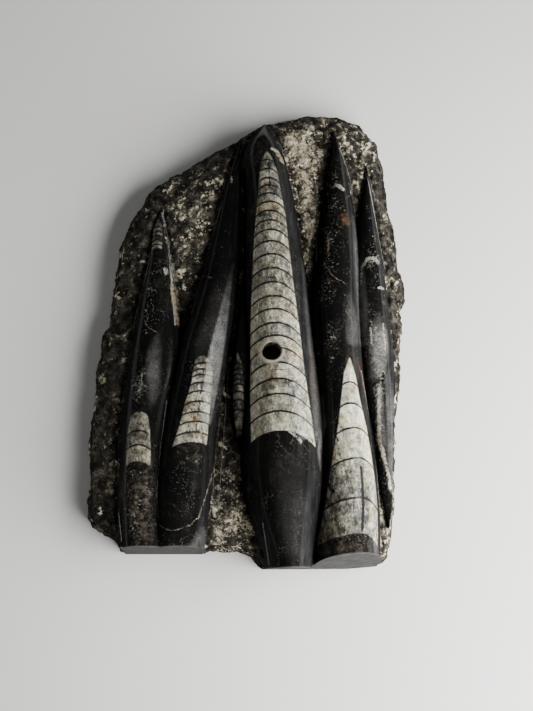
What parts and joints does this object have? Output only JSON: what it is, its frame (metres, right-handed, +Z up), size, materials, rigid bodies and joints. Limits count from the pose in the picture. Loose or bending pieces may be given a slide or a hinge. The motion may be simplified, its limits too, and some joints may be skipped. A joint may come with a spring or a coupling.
{
  "type": "orthoceras fossil",
  "caption": "Carved and polished black limestone plaque with pale straight-coned orthoceras fossils fanning up from its cut lower end.",
  "frame": {"origin": "centre of the bounding box at the height of the flat sawn back", "axes": "+Z up from the sawn back to the polished ridges, +Y from the cut lower end to the pointed tips, +X to the right seen from above"},
  "size_m": [0.1786, 0.261, 0.0541],
  "materials": {
    "stone": "polished on the ridges, rough between them"
  },
  "bodies": {
    "root": {"fossil_stone": "stone"}
  },
  "joints": []
}
